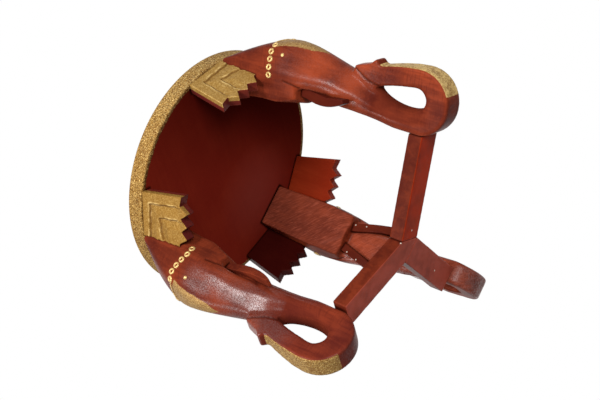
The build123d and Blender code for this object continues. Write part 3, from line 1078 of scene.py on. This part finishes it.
PIN_RADIUS, PIN_RISE = 0.0010, 0.0005
PIN_HEADS = [                       # places and outward directions
    ((0.0167, 0.0248, 0.0265), (0.0, 0.0, -1.0)),
    ((-0.0756, 0.0515, 0.0265), (0.0, 0.0, -1.0)),
    ((0.0161, 0.0036, 0.0271), (0.98, 0.04, -0.22)),
    ((-0.1098, 0.0978, 0.1787), (0.90, -0.45, 0.0)),
    ((-0.1076, 0.0998, 0.1625), (0.89, -0.46, 0.05)),
    ((-0.1261, 0.0650, 0.1734), (0.90, -0.45, 0.0)),
    ((-0.1274, 0.0599, 0.1560), (0.89, -0.45, -0.03)),
]


def make_pin_heads():
    work = bmesh.new()
    for place, normal in PIN_HEADS:
        dome(work, Vector(place), Vector(normal), PIN_RADIUS, PIN_RISE)
    mesh = finished_mesh(work, "pin heads")
    shade_smooth(mesh)
    new_piece("pin_heads", mesh, pin_finish())


def make_bar(name, material):
    """One bar of the Y between the legs, its arrises lightly broken."""
    node = "stretcher_" + name
    to_leg = into_leg_frame(LEG_HEADINGS[name])
    mesh = carved(node, BAR_VOXEL, 2, to_leg)
    mesh.transform(to_leg.inverted())
    mark_wear(mesh)
    others = ["stretcher_" + other for other in LEG_HEADINGS if other != name]
    mark_joints(mesh, "leg_" + name, *others)
    shade_smooth(mesh)
    piece = new_piece("planed_" + node, mesh, material)
    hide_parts(node)


# ---------------------------------------------------------------------------
# Studio: pale floor, white surroundings, lamps and camera

def make_floor():
    """A pale floor that can't be seen from below."""
    work = bmesh.new()
    bmesh.ops.create_grid(work, x_segments=1, y_segments=1, size=6.0)
    mesh = finished_mesh(work, "floor")
    floor = bpy.data.objects.new("floor", mesh)
    scene.collection.objects.link(floor)
    finish = Finish(
        "pale floor", Base_Color=(0.82, 0.82, 0.82, 1.0), Roughness=0.9, Specular_IOR_Level=0.1
    )
    below = finish.node("ShaderNodeNewGeometry", {"output": "Backfacing"})
    clear = finish.node("ShaderNodeBsdfTransparent")
    mixed = finish.node(
        "ShaderNodeMixShader", None, below, Wire(finish, finish.shader.outputs[0]), clear
    )
    finish.tree.links.new(mixed.socket, finish.output.inputs["Surface"])
    mesh.materials.append(finish.material)
    floor.visible_diffuse = False
    floor.visible_glossy = False
    floor.visible_shadow = False


def make_world():
    """White wherever it is seen, also in gloss and through glass, and soft light elsewhere."""
    world = bpy.data.worlds.new("studio")
    scene.world = world
    world.use_nodes = True
    tree = world.node_tree
    tree.nodes.clear()
    output = tree.nodes.new("ShaderNodeOutputWorld")
    mix = tree.nodes.new("ShaderNodeMixShader")
    soft = tree.nodes.new("ShaderNodeBackground")
    white = tree.nodes.new("ShaderNodeBackground")
    path = tree.nodes.new("ShaderNodeLightPath")
    first = tree.nodes.new("ShaderNodeMath")
    second = tree.nodes.new("ShaderNodeMath")
    first.operation = second.operation = "MAXIMUM"
    soft.inputs["Color"].default_value = (1.0, 1.0, 1.0, 1.0)
    soft.inputs["Strength"].default_value = 0.22
    white.inputs["Strength"].default_value = 1.0
    white.inputs["Color"].default_value = (1.0, 1.0, 1.0, 1.0)
    tree.links.new(path.outputs["Is Camera Ray"], first.inputs[0])
    tree.links.new(path.outputs["Is Glossy Ray"], first.inputs[1])
    tree.links.new(first.outputs[0], second.inputs[0])
    tree.links.new(path.outputs["Is Transmission Ray"], second.inputs[1])
    tree.links.new(second.outputs[0], mix.inputs[0])
    tree.links.new(soft.outputs[0], mix.inputs[1])
    tree.links.new(white.outputs[0], mix.inputs[2])
    tree.links.new(mix.outputs[0], output.inputs["Surface"])


LAMPS = {                           # direction, distance, size and power
    "key": ((0.76, -0.57, 0.30), 1.7, 0.34, 9.5),
    "second": ((0.74, -0.66, 0.18), 1.7, 0.30, 9.5),
    "side": ((0.10, -0.93, 0.34), 1.7, 0.30, 10.0),
    "lower": ((0.83, -0.30, -0.48), 1.9, 0.7, 21.0),
}


def make_lamp(name, direction, distance, size, power):
    """A square soft lamp that faces the stool's middle."""
    light = bpy.data.lights.new(name, "AREA")
    light.shape = "SQUARE"
    light.size = size
    light.energy = power
    lamp = bpy.data.objects.new(name, light)
    scene.collection.objects.link(lamp)
    middle = Vector((0.0, 0.02, 0.16))
    lamp.location = middle + Vector(direction).normalized() * distance
    lamp.rotation_euler = (lamp.location - middle).to_track_quat("Z", "Y").to_euler()


CAMERA_LENS = 64.997
CAMERA_PLACE = (0.86196, -0.61807, -0.51812)
CAMERA_TURN = (151.70419919, 51.51656542, 108.87510244)     # degrees


def make_camera():
    """The camera looks up at the stool from below its floor."""
    camera = bpy.data.cameras.new("camera")
    camera.sensor_fit = "HORIZONTAL"
    camera.sensor_width = 36.0
    camera.lens = CAMERA_LENS
    camera.clip_end = 50.0
    holder = bpy.data.objects.new("camera", camera)
    scene.collection.objects.link(holder)
    holder.location = CAMERA_PLACE
    holder.rotation_euler = [math.radians(angle) for angle in CAMERA_TURN]
    scene.camera = holder


scene.view_settings.view_transform = "Standard"
raised_gold = bead_finish()
make_seat()
for leg_name, leg_heading in LEG_HEADINGS.items():
    make_leg(leg_name, leg_heading, raised_gold)
ear_material = ear_finish()
tusk_materials = {
    name: plain_lacquer(name + " tusk lacquer", darker=darker)
    for name, darker in (("front", 0.10), ("right", 0.90), ("left", 0.75))
}
# The bars' downward faces get a painted reflection, pale on the front and left bars and redder on
# the right.
bar_materials = {
    name: plain_lacquer(name + " stretcher lacquer", along=1.0, underside=tone, sides=0.45)
    for name, tone in (("front", SHEEN_RED), ("right", LIT_RED), ("left", SHEEN_RED))
}
dowel_material = dowel_finish()
for leg_name in LEG_HEADINGS:
    make_bar(leg_name, bar_materials[leg_name])
    for hand in HANDS:
        make_ear(leg_name, hand, ear_material)
        make_tusk(leg_name, hand, tusk_materials[leg_name])
        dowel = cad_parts["dowel_" + leg_name + "_" + hand]
        dowel.data.materials.clear()
        dowel.data.materials.append(dowel_material)
make_pin_heads()
make_floor()
make_world()
for lamp_name, settings in LAMPS.items():
    make_lamp(lamp_name, *settings)
make_camera()
